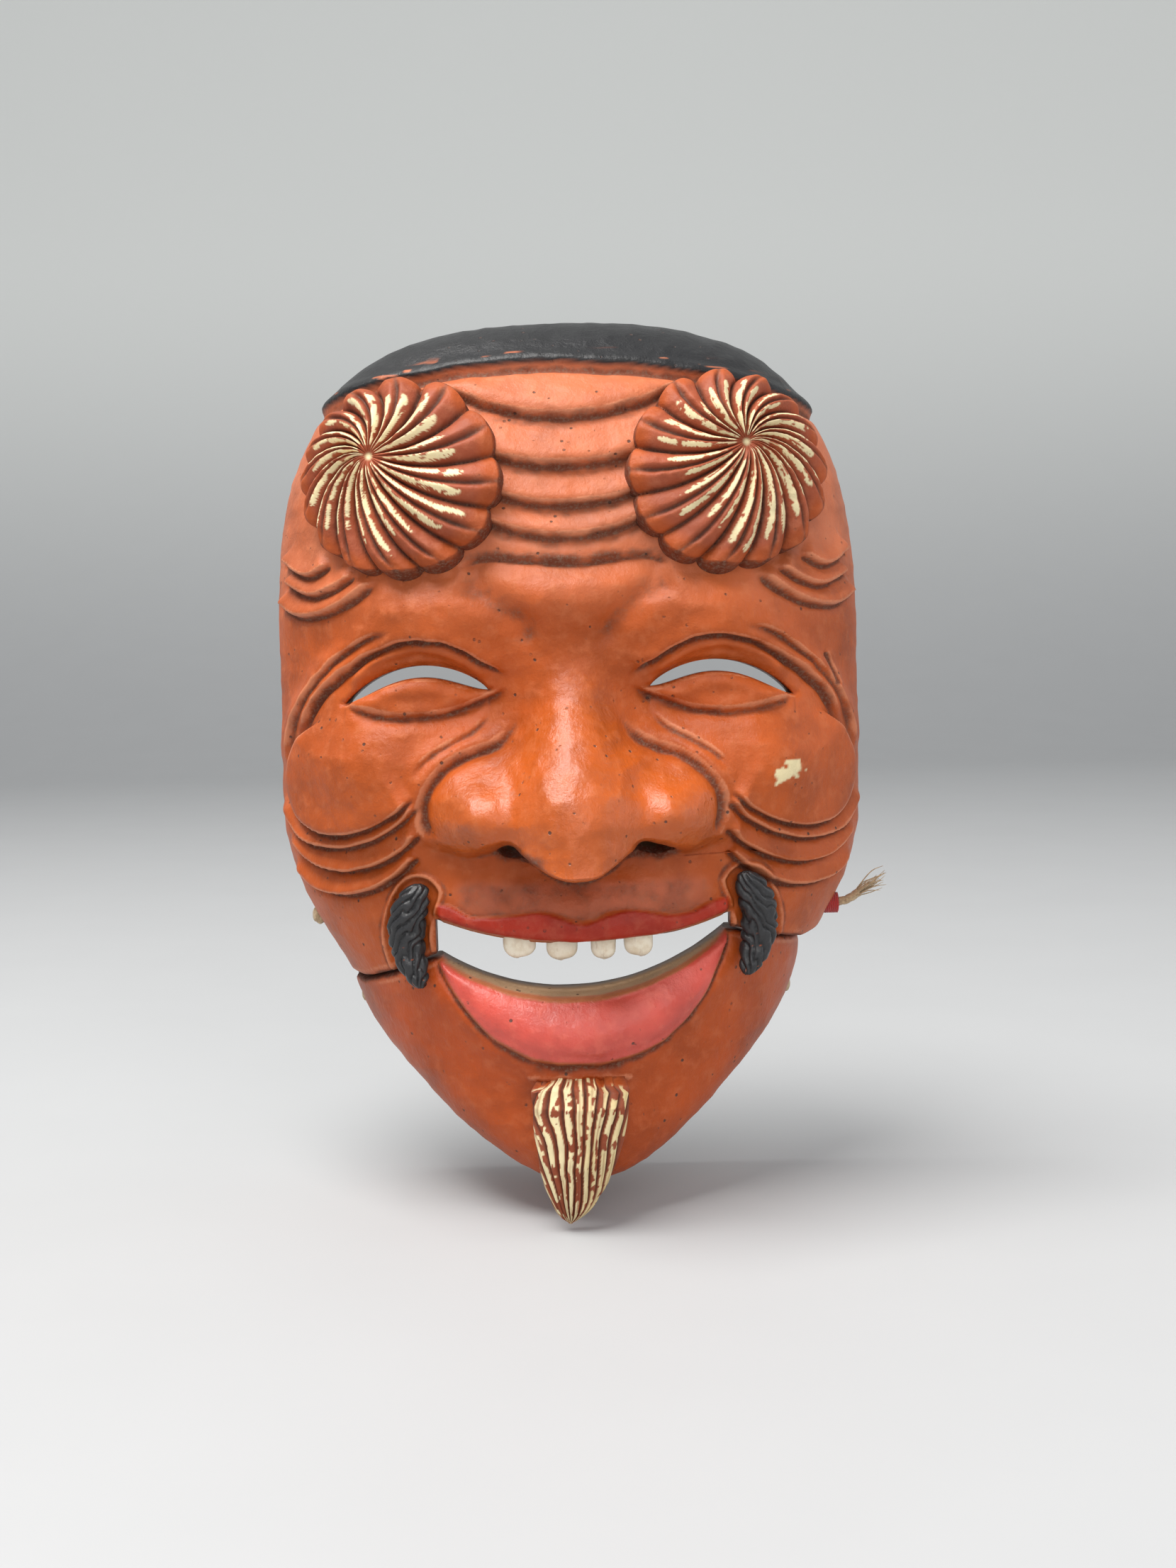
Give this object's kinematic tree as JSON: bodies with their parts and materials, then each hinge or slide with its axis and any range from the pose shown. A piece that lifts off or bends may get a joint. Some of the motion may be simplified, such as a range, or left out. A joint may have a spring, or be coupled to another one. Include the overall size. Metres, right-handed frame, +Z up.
{
  "type": "noh mask",
  "caption": "Carved and painted wooden theatre mask of a laughing old man, with a separate lower jaw tied on with hemp cord, tufted brows and a pointed beard.",
  "frame": {"origin": "midway between the two cord holes, in the plane of the back rim that lies against the wearer's face or a wall", "axes": "+Z up with the mask upright, +Y out of the back of the mask, so the face looks along -Y, and +X to the viewer's right"},
  "size_m": [0.1514, 0.0743, 0.2084],
  "materials": {
    "vermilion_paint": "satin vermilion paint over carved wood, grimy in the recesses",
    "brow_paint": "red-brown paint with worn cream brush strokes on the ridges",
    "black_paint": "soot-black satin paint over carved grooves",
    "beard_paint": "worn cream paint over red-brown, carved into strands",
    "tooth_paint": "satin ivory paint",
    "hemp_cord": "twisted hemp",
    "red_thread": "tightly wound red thread"
  },
  "bodies": {
    "mask": {"upper_mask": "vermilion_paint", "brow_tuft_left": "brow_paint", "brow_tuft_right": "brow_paint", "moustache_left": "black_paint", "moustache_right": "black_paint", "tooth_1": "tooth_paint", "tooth_2": "tooth_paint", "tooth_3": "tooth_paint", "tooth_4": "tooth_paint", "jaw_tie_left": "hemp_cord", "jaw_tie_right": "hemp_cord", "tie_binding": "red_thread"},
    "jaw": {"lower_jaw": "vermilion_paint", "beard_tuft": "beard_paint"}
  },
  "joints": [
    {"name": "jaw_swing", "type": "hinge", "parent": "mask", "child": "jaw", "pos_m": [0, -0.009, -0.07], "axis": [1, 0, 0], "range_deg": [0, 12]}
  ]
}
